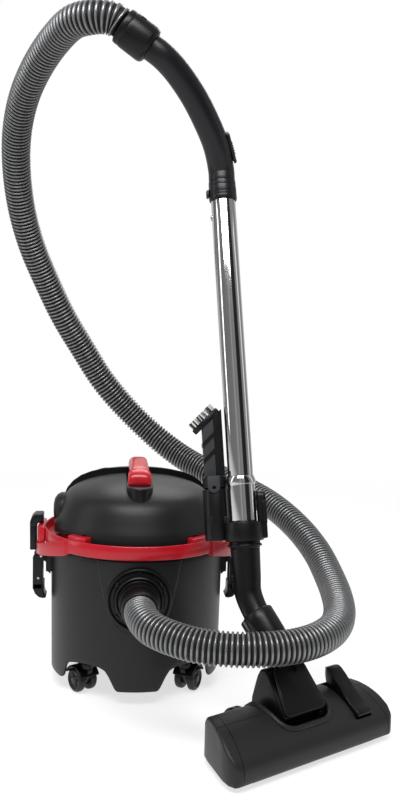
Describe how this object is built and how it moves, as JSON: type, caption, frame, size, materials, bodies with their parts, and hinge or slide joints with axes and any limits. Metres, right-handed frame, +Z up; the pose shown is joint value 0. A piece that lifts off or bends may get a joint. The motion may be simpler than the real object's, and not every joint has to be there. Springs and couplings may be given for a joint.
{
  "type": "canister vacuum cleaner",
  "caption": "Compact drum vacuum cleaner on swivelling casters, with a latched motor head, corrugated hose, chrome wand, wheeled floor head and a clipped-on brush tool.",
  "frame": {"origin": "on the floor, in the middle of the footprint of everything but the hose", "axes": "+Z up, the hose inlet and the floor head are toward -Y, +X is the machine's right as seen from the front"},
  "size_m": [0.5683, 0.7177, 0.9811],
  "materials": {
    "charcoal_shell": "fine satin texture",
    "black_plastic": "satin",
    "red_plastic": "semi-gloss",
    "grey_plastic": "matte",
    "wheel_plastic": "satin",
    "chrome": "polished",
    "steel": "plain",
    "motor_metal": "cast and wound",
    "hose_grey": "satin metallic grey, ribbed",
    "seal_rubber": "matte",
    "filter_cloth": "felt",
    "filter_foam": "open foam",
    "bristle": "stiff bristle"
  },
  "bodies": {
    "canister": {"drum": "charcoal_shell", "rim_gasket": "seal_rubber", "dust_bag": "filter_cloth", "bag_collar": "grey_plastic", "inlet_flange": "black_plastic", "flange_screw_1": "steel", "flange_screw_2": "steel", "inlet_cuff": "black_plastic", "latch_bracket_left": "black_plastic", "latch_bracket_right": "black_plastic", "hose": "hose_grey", "handle_cuff": "black_plastic", "handle_tube": "black_plastic", "handle_collar": "black_plastic", "wand_upper": "chrome", "wand_lower": "chrome", "elbow_sleeve": "black_plastic", "elbow": "black_plastic", "tool_holder": "black_plastic"},
    "motor_head": {"head_ring": "red_plastic", "lid": "charcoal_shell", "rear_cover": "black_plastic", "handle_well": "black_plastic", "handle_base": "black_plastic", "handle_grip": "red_plastic", "exhaust_grille": "black_plastic", "cord_gland": "seal_rubber", "motor_deck": "black_plastic", "fan_housing": "steel", "motor": "motor_metal", "filter_basket": "filter_cloth", "motor_filter": "filter_foam"},
    "fan_rotor": {"fan": "steel"},
    "switch": {"power_button": "red_plastic"},
    "left_latch_lever": {"latch_lever_left": "black_plastic"},
    "left_latch_hook": {"latch_hook_left": "black_plastic"},
    "right_latch_lever": {"latch_lever_right": "black_plastic"},
    "right_latch_hook": {"latch_hook_right": "black_plastic"},
    "front_left_fork": {"caster_fork_front_left": "black_plastic"},
    "front_left_wheels": {"caster_wheels_front_left": "wheel_plastic"},
    "front_right_fork": {"caster_fork_front_right": "black_plastic"},
    "front_right_wheels": {"caster_wheels_front_right": "wheel_plastic"},
    "rear_left_fork": {"caster_fork_rear_left": "black_plastic"},
    "rear_left_wheels": {"caster_wheels_rear_left": "wheel_plastic"},
    "rear_right_fork": {"caster_fork_rear_right": "black_plastic"},
    "rear_right_wheels": {"caster_wheels_rear_right": "wheel_plastic"},
    "air_slide": {"suction_slide": "black_plastic"},
    "wand_lock": {"lock_button": "black_plastic"},
    "accessory": {"combi_tool": "grey_plastic", "combi_brush": "bristle"},
    "neck": {"neck_socket": "black_plastic", "yoke": "black_plastic", "neck_cover": "charcoal_shell", "yoke_axle": "steel"},
    "left_roller": {"roller_left": "wheel_plastic"},
    "right_roller": {"roller_right": "wheel_plastic"},
    "floor_head": {"head_hood": "charcoal_shell", "sole_plate": "black_plastic"},
    "foot_pedal": {"pedal": "black_plastic"},
    "brush": {"brush_strip": "bristle"}
  },
  "joints": [
    {"name": "head_lift", "type": "slide", "parent": "canister", "child": "motor_head", "axis": [0, 0, 1], "range_m": [0, 0.13]},
    {"name": "fan_spin", "type": "hinge", "parent": "motor_head", "child": "fan_rotor", "pos_m": [-0.09026, 0.12381, 0.234], "axis": [0, 0, 1], "continuous": true},
    {"name": "power_press", "type": "slide", "parent": "motor_head", "child": "switch", "axis": [0, 0, -1], "range_m": [0, 0.0025], "stiffness_N_per_m": 300, "springref_m": -0.002},
    {"name": "left_lever_swing", "type": "hinge", "parent": "canister", "child": "left_latch_lever", "pos_m": [-0.23626, 0.12381, 0.192], "axis": [0, 1, 0], "range_deg": [0, 85]},
    {"name": "left_hook_swing", "type": "hinge", "parent": "left_latch_lever", "child": "left_latch_hook", "pos_m": [-0.24026, 0.12381, 0.158], "axis": [0, 1, 0], "range_deg": [-85, 0]},
    {"name": "right_lever_swing", "type": "hinge", "parent": "canister", "child": "right_latch_lever", "pos_m": [0.05574, 0.12381, 0.192], "axis": [0, -1, 0], "range_deg": [0, 85]},
    {"name": "right_hook_swing", "type": "hinge", "parent": "right_latch_lever", "child": "right_latch_hook", "pos_m": [0.05974, 0.12381, 0.158], "axis": [0, -1, 0], "range_deg": [-85, 0]},
    {"name": "front_left_swivel", "type": "hinge", "parent": "canister", "child": "front_left_fork", "pos_m": [-0.16326, 0.05081, 0.05], "axis": [0, 0, 1], "continuous": true},
    {"name": "front_left_roll", "type": "hinge", "parent": "front_left_fork", "child": "front_left_wheels", "pos_m": [-0.17014, 0.06064, 0.018], "axis": [0.8192, 0.5736, 0], "continuous": true},
    {"name": "front_right_swivel", "type": "hinge", "parent": "canister", "child": "front_right_fork", "pos_m": [-0.01726, 0.05081, 0.05], "axis": [0, 0, 1], "continuous": true},
    {"name": "front_right_roll", "type": "hinge", "parent": "front_right_fork", "child": "front_right_wheels", "pos_m": [-0.01126, 0.0612, 0.018], "axis": [0.866, -0.5, 0], "continuous": true},
    {"name": "rear_left_swivel", "type": "hinge", "parent": "canister", "child": "rear_left_fork", "pos_m": [-0.16326, 0.19681, 0.05], "axis": [0, 0, 1], "continuous": true},
    {"name": "rear_left_roll", "type": "hinge", "parent": "rear_left_fork", "child": "rear_left_wheels", "pos_m": [-0.16926, 0.18642, 0.018], "axis": [-0.866, 0.5, 0], "continuous": true},
    {"name": "rear_right_swivel", "type": "hinge", "parent": "canister", "child": "rear_right_fork", "pos_m": [-0.01726, 0.19681, 0.05], "axis": [0, 0, 1], "continuous": true},
    {"name": "rear_right_roll", "type": "hinge", "parent": "rear_right_fork", "child": "rear_right_wheels", "pos_m": [-0.01219, 0.18593, 0.018], "axis": [-0.9063, -0.4226, 0], "continuous": true},
    {"name": "air_slide_move", "type": "slide", "parent": "canister", "child": "air_slide", "axis": [0.3298, 0.482, -0.8118], "range_m": [0, 0.006]},
    {"name": "lock_press", "type": "slide", "parent": "canister", "child": "wand_lock", "axis": [0.9979, 0.0142, 0.0624], "range_m": [0, 0.0022], "stiffness_N_per_m": 300, "springref_m": -0.002},
    {"name": "tool_pull", "type": "slide", "parent": "canister", "child": "accessory", "axis": [-0.064, 0.2219, 0.973], "range_m": [0, 0.06]},
    {"name": "neck_swivel", "type": "hinge", "parent": "canister", "child": "neck", "pos_m": [0.06574, -0.09419, 0.167], "axis": [0.4505, -0.5491, -0.7039], "range_deg": [-25, 25]},
    {"name": "left_roller_spin", "type": "hinge", "parent": "neck", "child": "left_roller", "pos_m": [0.04083, -0.10434, 0.02], "axis": [0.848, 0.5299, 0], "continuous": true},
    {"name": "right_roller_spin", "type": "hinge", "parent": "neck", "child": "right_roller", "pos_m": [0.09892, -0.06804, 0.02], "axis": [0.848, 0.5299, 0], "continuous": true},
    {"name": "head_pitch", "type": "hinge", "parent": "neck", "child": "floor_head", "pos_m": [0.1075, -0.14641, 0.038], "axis": [0.848, 0.5299, 0], "range_deg": [-12, 6]},
    {"name": "pedal_rock", "type": "hinge", "parent": "floor_head", "child": "foot_pedal", "pos_m": [0.18849, -0.10995, 0.05], "axis": [0.848, 0.5299, 0], "range_deg": [-14, 0]},
    {"name": "brush_drop", "type": "slide", "parent": "floor_head", "child": "brush", "axis": [0, 0, -1], "range_m": [0, 0.0036]}
  ],
  "couplings": [
    {"joint": "left_hook_swing", "follows": "left_lever_swing", "ratio": -1},
    {"joint": "right_hook_swing", "follows": "right_lever_swing", "ratio": -1}
  ]
}
